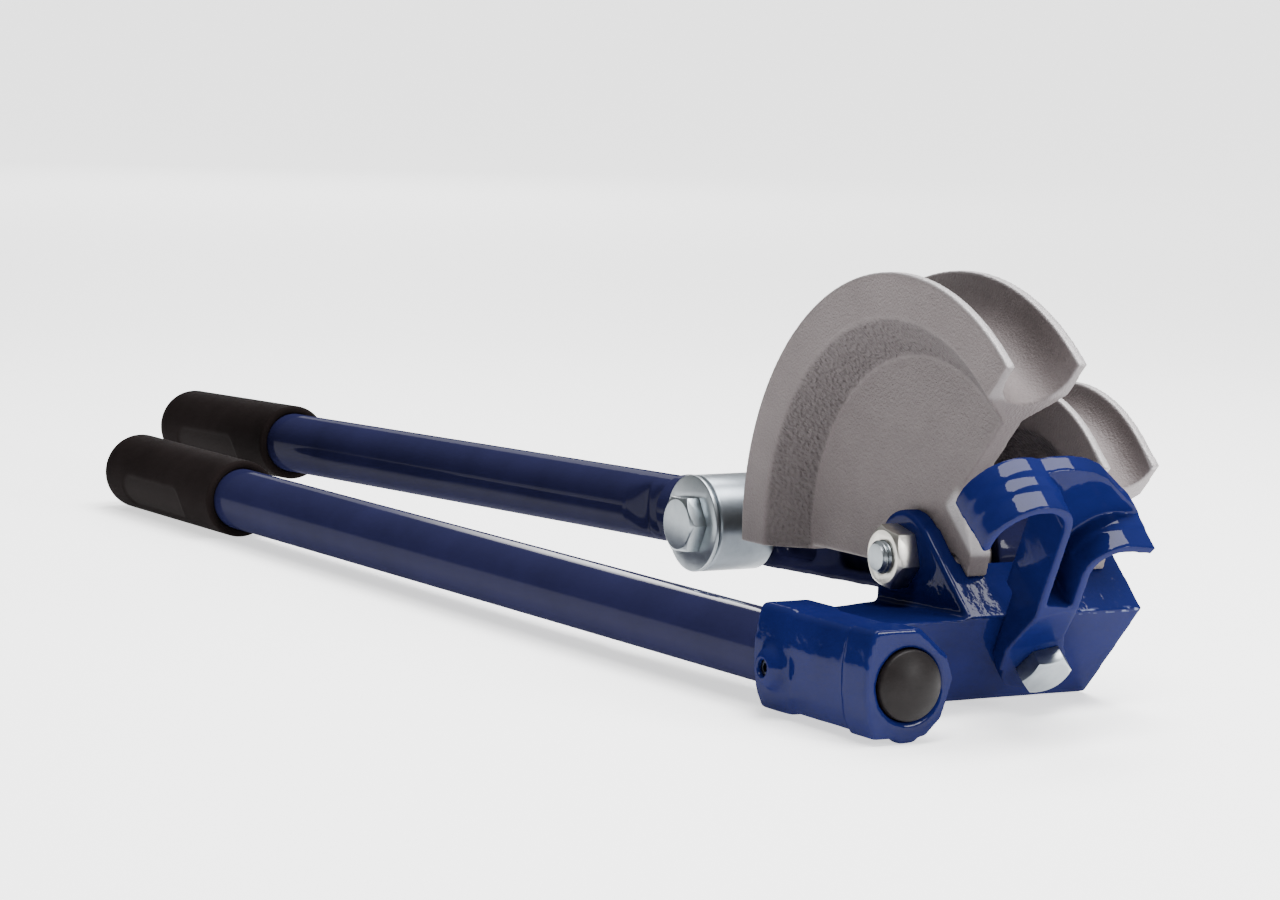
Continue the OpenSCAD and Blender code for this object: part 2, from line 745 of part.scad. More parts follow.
// Saddles with the leg's two side walls
module saddle_rims(wall) {
    translate([large_across, large_up]) {
        arch(saddle_r_large, wall);
        translate([arch_step - saddle_r_large - wall, -lip_drop])
            square([wall - 2 * arch_step, lip_drop + 0.5]);
    }
    translate([small_across, small_up]) open_arch(saddle_r_small, wall);
    translate([-leg_left, pocket_low]) square([saddle_wall, large_up - pocket_low + 0.5]);
    translate([leg_right - saddle_wall, pocket_low]) square([saddle_wall, small_up - pocket_low + 0.5]);
}

module stop_plate_outline() {
    difference() {
        polygon([[large_across, large_up + saddle_r_large + back_wall - 0.5],
                 [large_across + 8, large_up + 12], [large_across + 12.5, large_up + 11.8],
                 [large_across + 18.6, large_up + 10.4], [large_across + 24.7, large_up + 7.4],
                 [large_across + 29.9, large_up + 3], [small_across + 5.9, small_up + 15.6],
                 [small_across + 9.5, small_up + 11], [small_across + 11.8, small_up + 7],
                 [small_across + 4.75, small_up + 8.2], [small_across, small_up],
                 [leg_right, small_up - 2], [leg_right, pocket_low - 6], [-leg_left, pocket_low - 6],
                 [-leg_left, large_up], [large_across, large_up]]);
        translate([large_across, large_up]) circle(saddle_r_large);
        translate([small_across, small_up]) circle(saddle_r_small);
    }
}

// The leg's lower part, thin at the bolt and as deep as the saddles at the pocket
module stop_leg() {
    intersection() {
        linear_extrude(saddle_front) {
            translate([-1.6, -1.6]) circle(foot_r);
            polygon([[-leg_left, 0], [foot_r - 2.4, 0], [leg_right, pocket_low], [-leg_left, pocket_low + 6]]);
        }
        rotate([90, 0, 90]) translate([0, 0, -2 * foot_r]) linear_extrude(4 * foot_r)
            polygon([[-2 * foot_r, 0], [pocket_low + 8, 0], [pocket_low + 8, saddle_front],
                     [pocket_low, saddle_front], [foot_r, foot_t], [-2 * foot_r, foot_t]]);
    }
}

module stop_hook() {
    play = end_play / 2;
    color(steel_blue) on_stop() difference() {
        union() {
            translate([0, 0, play]) stop_leg();
            translate([0, 0, -saddle_back]) linear_extrude(saddle_back + saddle_front) saddle_rims(saddle_wall);
            translate([0, 0, -saddle_back]) linear_extrude(stop_plate + 5) saddle_rims(saddle_wall + saddle_step);
            translate([0, 0, -saddle_back]) linear_extrude(stop_plate) {
                saddle_rims(back_wall);
                stop_plate_outline();
            }
        }
        translate([0, 0, -1]) cylinder(r = stop_bolt_d / 2 + running, h = saddle_front + 2);
        translate([-2 * foot_r, -2 * foot_r, -2 * saddle_back])
            cube([4 * foot_r, 2 * foot_r + seat_rise + 14, 2 * saddle_back + play]);
    }
}

module stop_bolt() {
    color(zinc) on_stop() {
        translate([0, 0, -stop_thread]) cylinder(d = stop_bolt_d, h = stop_thread + foot_t + end_play + 1);
        translate([0, 0, foot_t + end_play]) hex_head(stop_flats, stop_head);
    }
}

head_casting();
fixed_handle_tube();
fixed_grip();
socket_plug();
lock_screw();
former_large();
former_small();
pivot_bolt();
pivot_nut();
pivot_sleeve();
lever();
moving_handle_tube();
moving_grip();
large_roller();
large_roller_bush();
large_roller_washer();
large_roller_bolt();
large_roller_nut();
small_roller();
small_roller_bush();
small_roller_washer();
small_roller_bolt();
stop_hook();
stop_bolt();
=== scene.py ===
import math

import bmesh
import bpy
import numpy as np
from mathutils import Matrix, Vector, noise
from mathutils.bvhtree import BVHTree
from mathutils.kdtree import KDTree


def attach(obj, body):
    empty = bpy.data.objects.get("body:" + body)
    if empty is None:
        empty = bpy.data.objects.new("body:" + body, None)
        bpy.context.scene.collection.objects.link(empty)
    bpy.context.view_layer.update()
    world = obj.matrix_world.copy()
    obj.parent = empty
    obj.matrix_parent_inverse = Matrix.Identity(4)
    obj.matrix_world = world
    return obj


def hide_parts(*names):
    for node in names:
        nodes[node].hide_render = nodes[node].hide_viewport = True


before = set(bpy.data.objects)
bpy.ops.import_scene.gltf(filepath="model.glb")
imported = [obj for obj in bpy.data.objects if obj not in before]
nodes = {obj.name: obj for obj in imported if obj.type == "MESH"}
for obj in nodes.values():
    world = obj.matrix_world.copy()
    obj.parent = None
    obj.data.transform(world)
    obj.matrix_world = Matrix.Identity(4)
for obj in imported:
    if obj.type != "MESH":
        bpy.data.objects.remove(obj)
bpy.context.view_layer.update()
print("frame loaded:", len(nodes), "nodes")

# where the tool lies, in millimetres and degrees
place = {
    "origin": (222.608, -10.9, 43.5827),
    "restTilt": 0.316608,
    "droop": 1.92,
    "stopAngle": 47.1,
    "stopFace": 36.0,
    "seatRise": 14.4,
}


def turn(degrees, axis):
    return Matrix.Rotation(math.radians(degrees), 4, axis)


toMetres = Matrix.Scale(0.001, 4)
toolFrame = toMetres @ Matrix.Translation(place["origin"]) @ turn(-place["restTilt"], "Y")
leverFrame = toolFrame @ turn(-place["droop"], "Y")


# small helpers for shader nodes
def newMaterial(name):
    mat = bpy.data.materials.new(name)
    mat.use_nodes = True
    tree = mat.node_tree
    shader = tree.nodes["Principled BSDF"]
    return mat, tree, shader


def addNode(tree, kind, **values):
    node = tree.nodes.new(kind)
    for key, value in values.items():
        setattr(node, key, value)
    return node


def link(tree, fromSocket, toSocket):
    tree.links.new(fromSocket, toSocket)


def objectPoint(tree):
    return addNode(tree, "ShaderNodeTexCoord").outputs["Object"]


def grain(tree, point, scale, detail=4.0, rough=0.55, stretch=None):
    if stretch:
        mapping = addNode(tree, "ShaderNodeMapping")
        mapping.inputs["Scale"].default_value = stretch
        link(tree, point, mapping.inputs["Vector"])
        point = mapping.outputs["Vector"]
    tex = addNode(tree, "ShaderNodeTexNoise")
    tex.inputs["Scale"].default_value = scale
    tex.inputs["Detail"].default_value = detail
    tex.inputs["Roughness"].default_value = rough
    link(tree, point, tex.inputs["Vector"])
    return tex.outputs["Fac"]


def ramp(tree, value, stops):
    node = addNode(tree, "ShaderNodeValToRGB")
    band = node.color_ramp
    while len(band.elements) < len(stops):
        band.elements.new(0.5)
    for element, (spot, colour) in zip(band.elements, stops):
        element.position = spot
        element.color = (*colour, 1)
    link(tree, value, node.inputs["Fac"])
    return node.outputs["Color"]


def spread(tree, value, low, high, fromLow=0.0, fromHigh=1.0):
    node = addNode(tree, "ShaderNodeMapRange")
    node.inputs["From Min"].default_value = fromLow
    node.inputs["From Max"].default_value = fromHigh
    node.inputs["To Min"].default_value = low
    node.inputs["To Max"].default_value = high
    link(tree, value, node.inputs["Value"])
    return node.outputs["Result"]


def mixColour(tree, share, first, second, how="MIX"):
    node = addNode(tree, "ShaderNodeMix", data_type="RGBA", blend_type=how)
    for socket, value in ((node.inputs[0], share), (node.inputs[6], first), (node.inputs[7], second)):
        if isinstance(value, bpy.types.NodeSocket):
            link(tree, value, socket)
        elif isinstance(value, (int, float)):
            socket.default_value = value
        else:
            socket.default_value = (*value, 1)
    return node.outputs[2]


def combine(tree, how, first, second):
    node = addNode(tree, "ShaderNodeMath", operation=how)
    for socket, value in ((node.inputs[0], first), (node.inputs[1], second)):
        if isinstance(value, bpy.types.NodeSocket):
            link(tree, value, socket)
        else:
            socket.default_value = value
    return node.outputs[0]


def zone(tree, name):
    return addNode(tree, "ShaderNodeAttribute", attribute_name=name).outputs["Fac"]


def relief(tree, shader, height, strength, distance):
    bump = addNode(tree, "ShaderNodeBump")
    bump.inputs["Strength"].default_value = strength
    bump.inputs["Distance"].default_value = distance
    link(tree, height, bump.inputs["Height"])
    link(tree, bump.outputs["Normal"], shader.inputs["Normal"])
    return bump.outputs["Normal"]


# finishes
paintShared = {
    "cloudScale": 38.0,
    "dustScale": 160.0,
    "sagScale": 70.0,
    "sagShare": 3.0,
    "reliefStrength": 0.35,
    "level": 0.0,
    "coatIor": 2.5,
    "polishedCoat": 0.5,
    "glint": (0.15, 0.17, 0.27),
}
bluePaintLook = {
    **paintShared,
    "deep": (0.0034, 0.0056, 0.042),
    "light": (0.0050, 0.0080, 0.060),
    "rough": (0.28, 0.40),
    "coat": 0.055,
    "coatRough": 0.05,
    "peelScale": 420.0,
    "peelDepth": 0.00020,
}
tubePaintLook = {
    **paintShared,
    "deep": (0.0090, 0.0096, 0.031),
    "light": (0.0112, 0.0118, 0.039),
    "rough": (0.36, 0.46),
    "coat": 0.035,
    "coatRough": 0.06,
    "peelScale": 300.0,
    "peelDepth": 0.00005,
}


def makeBluePaint(name, look, waviness=1.0):
    mat, tree, shader = newMaterial(name)
    point = objectPoint(tree)
    cloud = grain(tree, point, look["cloudScale"], 3.0, 0.5)
    colour = ramp(tree, cloud, [(0.3, look["deep"]), (0.72, look["light"])])
    # painted highlight: bright flecks of the glint colour along the prow edge
    link(tree, mixColour(tree, zone(tree, "prowGlint"), colour, look["glint"]), shader.inputs["Base Color"])
    dust = grain(tree, point, look["dustScale"], 5.0, 0.6)
    link(tree, spread(tree, dust, *look["rough"]), shader.inputs["Roughness"])
    gloss = spread(tree, zone(tree, "polished"), look["coat"], look["polishedCoat"])
    link(tree, gloss, shader.inputs["Coat Weight"])
    shader.inputs["Coat Roughness"].default_value = look["coatRough"]
    shader.inputs["Coat IOR"].default_value = look["coatIor"]
    shader.inputs["Specular IOR Level"].default_value = look["level"]
    peel = grain(tree, point, look["peelScale"], 2.0, 0.45)
    sag = grain(tree, point, look["sagScale"], 2.0, 0.5)
    both = combine(tree, "ADD", peel, combine(tree, "MULTIPLY", sag, look["sagShare"] * waviness))
    bumped = relief(tree, shader, both, look["reliefStrength"], look["peelDepth"] * waviness)
    link(tree, bumped, shader.inputs["Coat Normal"])
    return mat


castLook = {
    "dark": (0.108, 0.091, 0.091),
    "light": (0.134, 0.114, 0.114),
    "slope": (0.066, 0.055, 0.056),
    "shine": (0.33, 0.315, 0.32),
    "metallic": 0.35,
    "rough": (0.50, 0.68),
    "grainScale": 1300.0,
    "hammerScale": 800.0,
    "cloudScale": 46.0,
    "speckTone": (0.42, 0.62),
    "speckShare": 0.55,
    "slopeShare": 0.75,
    "shineGloss": 0.2,
    "cellSmooth": 0.6,
    "warpScale": 700.0,
    "warpShare": 0.0012,
    "hammerHeight": 1.8,
    "grainHeight": 0.72,
    "reliefStrength": 0.9,
    "reliefDepth": 0.00055,
}


def makeCastAluminium(name, look):
    mat, tree, shader = newMaterial(name)
    point = objectPoint(tree)
    cloud = grain(tree, point, look["cloudScale"], 4.0, 0.6)
    speck = grain(tree, point, look["grainScale"], 3.0, 0.6)
    base = ramp(tree, cloud, [(0.28, look["dark"]), (0.74, look["light"])])
    dim, bright = look["speckTone"]
    specks = ramp(tree, speck, [(0.3, (dim, dim, dim)), (0.7, (bright, bright, bright))])
    speckled = mixColour(tree, look["speckShare"], base, specks, "OVERLAY")
    shine = zone(tree, "paintedShine")
    hammeredZone = zone(tree, "hammered")
    slopeShare = combine(tree, "MULTIPLY", hammeredZone, look["slopeShare"])
    sloped = mixColour(tree, slopeShare, speckled, look["slope"])
    # painted highlight: a lighter colour on the lip tops, the end face and a strip at the foot
    colour = mixColour(tree, shine, sloped, look["shine"])
    link(tree, colour, shader.inputs["Base Color"])
    shader.inputs["Metallic"].default_value = look["metallic"]
    rough = spread(tree, speck, *look["rough"])
    shineGloss = combine(tree, "MULTIPLY", shine, look["shineGloss"])
    link(tree, combine(tree, "SUBTRACT", rough, shineGloss), shader.inputs["Roughness"])
    cells = addNode(tree, "ShaderNodeTexVoronoi", feature="SMOOTH_F1")
    cells.inputs["Scale"].default_value = look["hammerScale"]
    cells.inputs["Smoothness"].default_value = look["cellSmooth"]
    warp = addNode(tree, "ShaderNodeTexNoise")
    warp.inputs["Scale"].default_value = look["warpScale"]
    link(tree, point, warp.inputs["Vector"])
    pulled = addNode(tree, "ShaderNodeMix", data_type="VECTOR")
    pulled.inputs[0].default_value = look["warpShare"]
    link(tree, point, pulled.inputs[4])
    link(tree, warp.outputs["Color"], pulled.inputs[5])
    link(tree, pulled.outputs[1], cells.inputs["Vector"])
    dimples = combine(tree, "MULTIPLY", cells.outputs["Distance"], look["hammerHeight"])
    hammered = combine(tree, "MULTIPLY", dimples, hammeredZone)
    grained = combine(tree, "MULTIPLY", speck, look["grainHeight"])
    height = combine(tree, "ADD", hammered, grained)
    relief(tree, shader, height, look["reliefStrength"], look["reliefDepth"])
    return mat


zincLook = {
    "dark": (0.25, 0.275, 0.295),
    "light": (0.30, 0.33, 0.35),
    "rough": (0.30, 0.36),
    "cloudScale": 320.0,
    "fineScale": 900.0,
    "reliefStrength": 0.06,
    "reliefDepth": 0.00004,
    "rollerTint": (0.66, 0.67, 0.70),
    "warmTint": (1.9, 1.68, 1.45),
    "darkTint": (0.05, 0.055, 0.075),
}


def makeZinc(name, look, tint=(1.0, 1.0, 1.0)):
    mat, tree, shader = newMaterial(name)
    point = objectPoint(tree)
    cloud = grain(tree, point, look["cloudScale"], 5.0, 0.62)
    dark = tuple(a * b for a, b in zip(look["dark"], tint))
    light = tuple(a * b for a, b in zip(look["light"], tint))
    link(tree, ramp(tree, cloud, [(0.25, dark), (0.7, light)]), shader.inputs["Base Color"])
    shader.inputs["Metallic"].default_value = 1.0
    fine = grain(tree, point, look["fineScale"], 4.0, 0.6)
    link(tree, spread(tree, fine, *look["rough"]), shader.inputs["Roughness"])
    relief(tree, shader, fine, look["reliefStrength"], look["reliefDepth"])
    return mat


rubberLook = {
    "dark": (0.0056, 0.0041, 0.0040),
    "light": (0.0092, 0.0069, 0.0068),
    "rough": (0.66, 0.84),
    "panel": (0.0110, 0.0090, 0.0089),
    "panelGloss": 0.06,
    "cloudScale": 60.0,
    "fineScale": 1500.0,
    "level": 0.01,
    "reliefStrength": 0.5,
    "reliefDepth": 0.00015,
}


def makeRubber(name, look):
    mat, tree, shader = newMaterial(name)
    point = objectPoint(tree)
    cloud = grain(tree, point, look["cloudScale"], 5.0, 0.6)
    base = ramp(tree, cloud, [(0.25, look["dark"]), (0.75, look["light"])])
    panel = zone(tree, "smoothPanel")
    # the oval panel is smoother rubber, and its lighter colour is painted sheen
    link(tree, mixColour(tree, panel, base, look["panel"]), shader.inputs["Base Color"])
    fine = grain(tree, point, look["fineScale"], 3.0, 0.6)
    rough = spread(tree, fine, *look["rough"])
    panelGloss = combine(tree, "MULTIPLY", panel, look["panelGloss"])
    link(tree, combine(tree, "SUBTRACT", rough, panelGloss), shader.inputs["Roughness"])
    shader.inputs["Specular IOR Level"].default_value = look["level"]
    relief(tree, shader, fine, look["reliefStrength"], look["reliefDepth"])
    return mat


plugLook = {
    "dark": (0.0050, 0.0039, 0.0039),
    "light": (0.0085, 0.0067, 0.0067),
    "rough": (0.40, 0.52),
    "cloudScale": 130.0,
    "scuffScale": 300.0,
    "scuffStretch": (1, 0.3, 2.4),
    "level": 0.12,
    "reliefStrength": 0.3,
    "reliefDepth": 0.0002,
}


def makePlugPlastic(name, look):
    mat, tree, shader = newMaterial(name)
    point = objectPoint(tree)
    cloud = grain(tree, point, look["cloudScale"], 6.0, 0.65)
    link(tree, ramp(tree, cloud, [(0.35, look["dark"]), (0.7, look["light"])]), shader.inputs["Base Color"])
    scuff = grain(tree, point, look["scuffScale"], 5.0, 0.7, stretch=look["scuffStretch"])
    link(tree, spread(tree, scuff, *look["rough"]), shader.inputs["Roughness"])
    shader.inputs["Specular IOR Level"].default_value = look["level"]
    relief(tree, shader, scuff, look["reliefStrength"], look["reliefDepth"])
    return mat


bluePaint = makeBluePaint("bluePaint", bluePaintLook)
hookPaint = makeBluePaint("hookPaint", bluePaintLook, 0.3)
tubePaint = makeBluePaint("tubePaint", tubePaintLook)
castAluminium = makeCastAluminium("castAluminium", castLook)
zincSteel = makeZinc("zincSteel", zincLook)
rollerZinc = makeZinc("rollerZinc", zincLook, zincLook["rollerTint"])
warmZinc = makeZinc("warmZinc", zincLook, zincLook["warmTint"])
darkSteel = makeZinc("darkSteel", zincLook, zincLook["darkTint"])
blackRubber = makeRubber("blackRubber", rubberLook)
plugPlastic = makePlugPlastic("plugPlastic", plugLook)
print("finishes made")


# mesh helpers
def place3d(name, mesh, material, body, slot, *stoodFor):
    piece = bpy.data.objects.new(name, mesh)
    bpy.context.scene.collection.objects.link(piece)
    mesh.materials.clear()
    mesh.materials.append(material)
    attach(piece, body)
    if stoodFor:
        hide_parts(*stoodFor)


def weldedCopy(nodeName):
    mesh = nodes[nodeName].data.copy()
    bm = bmesh.new()
    bm.from_mesh(mesh)
    bmesh.ops.remove_doubles(bm, verts=bm.verts, dist=2e-6)
    plain = bpy.data.meshes.new(nodeName + "Mesh")
    bm.to_mesh(plain)
    bm.free()
    bpy.data.meshes.remove(mesh)
    return plain


edgeMarks = {"sharp": 9.0, "every": 0.0004}


def flattened(mesh, original, near, far):
    # away from the edges the settled skin goes back onto the true faces
    bm = bmesh.new()
    bm.from_mesh(original)
    tree = BVHTree.FromBMesh(bm)
    marks = []
    for edge in bm.edges:
        if len(edge.link_faces) == 2 and edge.calc_face_angle(0) > math.radians(edgeMarks["sharp"]):
            a, b = edge.verts[0].co, edge.verts[1].co
            count = max(2, int((b - a).length / edgeMarks["every"]))
            marks += [a.lerp(b, k / count) for k in range(count + 1)]
    bm.free()
    known = KDTree(len(marks))
    for k, mark in enumerate(marks):
        known.insert(mark, k)
    known.balance()
    for vertex in mesh.vertices:
        gap = known.find(vertex.co)[2]
        if gap > near:
            spot = tree.find_nearest(vertex.co)[0]
            share = min(1.0, (gap - near) / (far - near))
            vertex.co = vertex.co.lerp(spot, share)
    mesh.update()


def settled(mesh, voxel, rounds):
    # one closed skin over everything in the mesh, its edges rounded by smoothing
    scratch = bpy.data.objects.new("scratch", mesh)
    bpy.context.scene.collection.objects.link(scratch)
    skin = scratch.modifiers.new("skin", "REMESH")
    skin.mode = "VOXEL"
    skin.voxel_size = voxel
    soft = scratch.modifiers.new("soft", "SMOOTH")
    soft.factor = 0.5
    soft.iterations = rounds
    graph = bpy.context.evaluated_depsgraph_get()
    done = bpy.data.meshes.new_from_object(scratch.evaluated_get(graph))
    bpy.data.objects.remove(scratch)
    done.shade_smooth()
    return done


def points(mesh):
    flat = np.zeros(len(mesh.vertices) * 3)
    mesh.vertices.foreach_get("co", flat)
    return flat.reshape(-1, 3)


def setPoints(mesh, co):
    mesh.vertices.foreach_set("co", co.astype(np.float32).ravel())
    mesh.update()


def setZone(mesh, name, values):
    layer = mesh.attributes.new(name, "FLOAT", "POINT")
    layer.data.foreach_set("value", values.astype(np.float32))


def into(frameMatrix, co):
    # points of the part's frame, in metres, as millimetres of a local frame
    back = np.array(frameMatrix.inverted())
    return co @ back[:3, :3].T + back[:3, 3]


def step(value, low, high):
    t = np.clip((value - low) / (high - low), 0, 1)
    return t * t * (3 - 2 * t)


def rise(value, at, ends):
    # from 0 to 1 between two distances from a place
    return step(value, at + ends[0], at + ends[1])


def cloudHeight(co, size, seed):
    # smooth uneven heights from -1 to 1 at each point
    shift = Vector((seed * 3.1, seed * 7.7, seed * 1.3))
    return np.array([noise.noise(Vector(p) / size + shift) for p in co])


# painted castings
castingLook = {
    "head_casting": {
        "piece": "headCasting", "body": "frame", "paint": bluePaint,
        "voxel": 0.00065, "rounds": 14, "near": 0.0016, "far": 0.0036, "uneven": 0.00010,
    },
    "lever": {
        "piece": "leverCasting", "body": "lever_arm", "paint": tubePaint,
        "voxel": 0.00065, "rounds": 10, "near": 0.0014, "far": 0.0030, "uneven": 0.00008,
    },
    "stop_hook": {
        "piece": "stopHook", "body": "stop", "paint": hookPaint,
        "voxel": 0.00045, "rounds": 18, "near": 0.0020, "far": 0.0040, "uneven": 0.00004,
    },
}
unevenLook = {"size": 0.009, "sink": 0.6}
fleckLook = {"along": 0.9, "across": 1.9, "near": (0.5, 1.3), "glinting": (0.10, 0.30), "from": (40.0, 44.0)}


def vertexNormals(mesh):
    flat = np.zeros(len(mesh.vertices) * 3)
    mesh.vertices.foreach_get("normal", flat)
    return flat.reshape(-1, 3)


def outward(reach, along):
    a = math.radians(place["stopAngle"])
    return (reach * math.cos(a) + along * math.sin(a), reach * math.sin(a) - along * math.cos(a))


def paintedProwGlints(local):
    # painted highlight: bright flecks along the edge where the seat meets the front face, glints off the
    # rough paint nodules there
    edge = outward(place["seatRise"], place["stopFace"])
    away = np.hypot(local[:, 0] - edge[0], local[:, 2] - edge[1])
    along, across = fleckLook["along"], fleckLook["across"]
    flecks = np.array([noise.noise(Vector((x / along, y / across, z / along))) for x, y, z in local])
    nearEdge = 1 - step(away, *fleckLook["near"])
    return nearEdge * step(flecks, *fleckLook["glinting"]) * step(local[:, 1], *fleckLook["from"])


def makeCasting(nodeName, look):
    original = weldedCopy(nodeName)
    mesh = settled(original, look["voxel"], look["rounds"])
    flattened(mesh, original, look["near"], look["far"])
    co = points(mesh)
    lift = cloudHeight(co, unevenLook["size"], len(nodeName)) - unevenLook["sink"]
    co = co + vertexNormals(mesh) * (lift * look["uneven"])[:, None]
    setPoints(mesh, co)
    if nodeName == "head_casting":
        setZone(mesh, "prowGlint", paintedProwGlints(into(toolFrame, co)))
    place3d(look["piece"], mesh, look["paint"], look["body"], "blue_paint", nodeName)
    print(look["piece"], len(mesh.vertices), "points")


for nodeName, look in castingLook.items():
    makeCasting(nodeName, look)


# formers: a grooved rim swept round the pivot, a web, a boss and a foot, settled into one casting
formerLook = {
    "former_large": {
        "piece": "largeFormer", "start": 0.0, "bend": 78.5, "rise": 5.8, "pipe": 22.0, "lip": 3.0,
        "rim": 13.5, "slope": 11.0, "lead": 0.0, "bossFrom": 10.5, "bossTo": 28.0,
    },
    "former_small": {
        "piece": "smallFormer", "start": 46.3, "bend": 47.9, "rise": 2.4, "pipe": 15.0, "lip": 2.6,
        "rim": 13.3, "slope": 7.5, "lead": 11.0, "bossFrom": 0.0, "bossTo": 13.6,
    },
}
formerShape = {
    "web": 7.0, "webLap": 2, "heel": 6.0, "heelStep": 1.2, "leadStep": 0.05, "rootLap": 1.1,
    "footLead": 7.0, "foot": ((24, -15), (11, 0), (7, 10.7), (0, 14), (0, 5)),
    "bossR": 13.0, "voxel": 0.00055, "rounds": 3,
}
# each pair is where a zone of the surface begins and ends, from the edge it follows
formerZone = {
    "root": (-1.5, 1.0), "flat": (-1.2, 0.3), "face": (-0.6, 0.3),
    "groove": (0.5, 1.2), "end": (-1.4, -0.5),
    "lip": (-0.75, -0.15), "lipShare": 0.8,
    "endIn": (-0.45, -0.2), "endOut": (0.4, 0.9), "endRim": (-2, 1), "endShare": 0.35,
    "flareAlong": (-3.0, 0.5), "flareIn": (20.0, 22.0), "flareOut": (26.0, 31.0), "flareShare": 0.9,
}


def rimSection(look):
    w = look["pipe"] + 2 * look["lip"]
    lipR = look["bend"] + look["rise"]
    flatR = lipR - look["rim"]
    rootR = flatR - formerShape["rootLap"] * look["slope"]
    root = formerShape["rootLap"] * (w - formerShape["web"]) / 2
    ring = [(lipR, 0.0), (lipR, look["lip"])]
    for k in range(25):
        a = math.pi * k / 24
        ring.append((look["bend"] - look["pipe"] / 2 * math.sin(a), w / 2 - look["pipe"] / 2 * math.cos(a)))
    ring += [(lipR, w - look["lip"]), (lipR, w), (flatR, w), (rootR, w - root), (rootR, root), (flatR, 0.0)]
    return ring


def sweepRim(bm, look):
    section = rimSection(look)
    stations = [(180.0, (0.0, -formerShape["heel"]))]
    turns = 130
    for k in range(turns + 1):
        stations.append((180 - (180 - place["stopAngle"]) * k / turns, (0.0, 0.0)))
    if look["lead"]:
        stations.append((place["stopAngle"], outward(0, look["lead"])))
    rings = []
    for angle, (sx, sz) in stations:
        a = math.radians(angle)
        rings.append([bm.verts.new((r * math.cos(a) + sx, look["start"] + d, r * math.sin(a) + sz))
                      for r, d in section])
    for near, far in zip(rings, rings[1:]):
        for k in range(len(section)):
            n = (k + 1) % len(section)
            bm.faces.new((near[k], near[n], far[n], far[k]))
    bm.faces.new(rings[0][::-1])
    bm.faces.new(rings[-1])


def addSlab(bm, outline, y0, y1):
    near = [bm.verts.new((x, y0, z)) for x, z in outline]
    far = [bm.verts.new((x, y1, z)) for x, z in outline]
    bm.faces.new(near)
    bm.faces.new(far[::-1])
    for k in range(len(outline)):
        n = (k + 1) % len(outline)
        bm.faces.new((near[k], far[k], far[n], near[n]))


def webOutline(look):
    r = look["bend"] + look["rise"] - look["rim"] - look["slope"] + formerShape["webLap"]
    low = formerShape["heelStep"] - formerShape["heel"]
    a = math.radians(place["stopAngle"])
    lead = look["lead"] - formerShape["leadStep"]
    corner = ((lead + low * math.cos(a)) / math.sin(a), low)
    top = outward(math.sqrt(r * r - lead * lead), lead)
    first = math.atan2(top[1], top[0])
    last = math.pi - math.asin(low / r)
    arc = [(r * math.cos(first + (last - first) * k / 60), r * math.sin(first + (last - first) * k / 60))
           for k in range(61)]
    return [corner] + arc


def footOutline():
    seat = place["seatRise"]
    lead = formerShape["footLead"]
    return [outward(seat + up, lead + along) for up, along in formerShape["foot"]] + [(0, 0)]


def circleOutline(r, count=64):
    angles = [2 * math.pi * k / count for k in range(count)]
    return [(r * math.cos(a), r * math.sin(a)) for a in angles]


def markFormer(mesh, look, middle, half):
    # the hammered slope, and a painted highlight on the lip tops, the end face and a strip at the foot
    ends = formerZone
    local = into(toolFrame, points(mesh))
    r = np.hypot(local[:, 0], local[:, 2])
    lipR = look["bend"] + look["rise"]
    flatR = lipR - look["rim"]
    depth = np.abs(local[:, 1] - middle)
    fromPipe = np.hypot(r - look["bend"], depth) - look["pipe"] / 2
    a = math.radians(place["stopAngle"])
    along = local[:, 0] * math.sin(a) - local[:, 2] * math.cos(a)
    reach = local[:, 0] * math.cos(a) + local[:, 2] * math.sin(a)
    onSlope = rise(r, flatR - look["slope"], ends["root"]) * (1 - rise(r, flatR, ends["flat"]))
    onSlope = onSlope * rise(depth, half, ends["face"])
    onSlope = onSlope * step(fromPipe, *ends["groove"]) * (1 - rise(along, look["lead"], ends["end"]))
    setZone(mesh, "hammered", onSlope)
    lipTop = rise(r, lipR, ends["lip"])
    # a painted highlight on the end towards the stop
    endFace = rise(along, look["lead"], ends["endIn"]) * (1 - rise(along, look["lead"], ends["endOut"]))
    endFace = endFace * rise(r, flatR, ends["endRim"]) * ends["endShare"]
    flare = step(along, *ends["flareAlong"]) * step(reach, *ends["flareIn"])
    flare = flare * (1 - step(reach, *ends["flareOut"]))
    shine = np.maximum(lipTop * ends["lipShare"], endFace)
    setZone(mesh, "paintedShine", np.maximum(shine, flare * ends["flareShare"]))


def makeFormer(nodeName, look):
    bm = bmesh.new()
    sweepRim(bm, look)
    w = look["pipe"] + 2 * look["lip"]
    middle = look["start"] + w / 2
    half = formerShape["web"] / 2
    addSlab(bm, webOutline(look), middle - half, middle + half)
    addSlab(bm, footOutline(), middle - half, middle + half)
    boss = circleOutline(formerShape["bossR"])
    addSlab(bm, boss, look["start"] + look["bossFrom"], look["start"] + look["bossTo"])
    bmesh.ops.recalc_face_normals(bm, faces=bm.faces)
    bm.transform(toolFrame)
    rough = bpy.data.meshes.new("rough")
    bm.to_mesh(rough)
    bm.free()
    mesh = settled(rough, formerShape["voxel"], formerShape["rounds"])
    markFormer(mesh, look, middle, half)
    place3d(look["piece"], mesh, castAluminium, "frame", "cast_aluminium", nodeName)
    print(look["piece"], len(mesh.vertices), "points")


for nodeName, look in formerLook.items():
    makeFormer(nodeName, look)


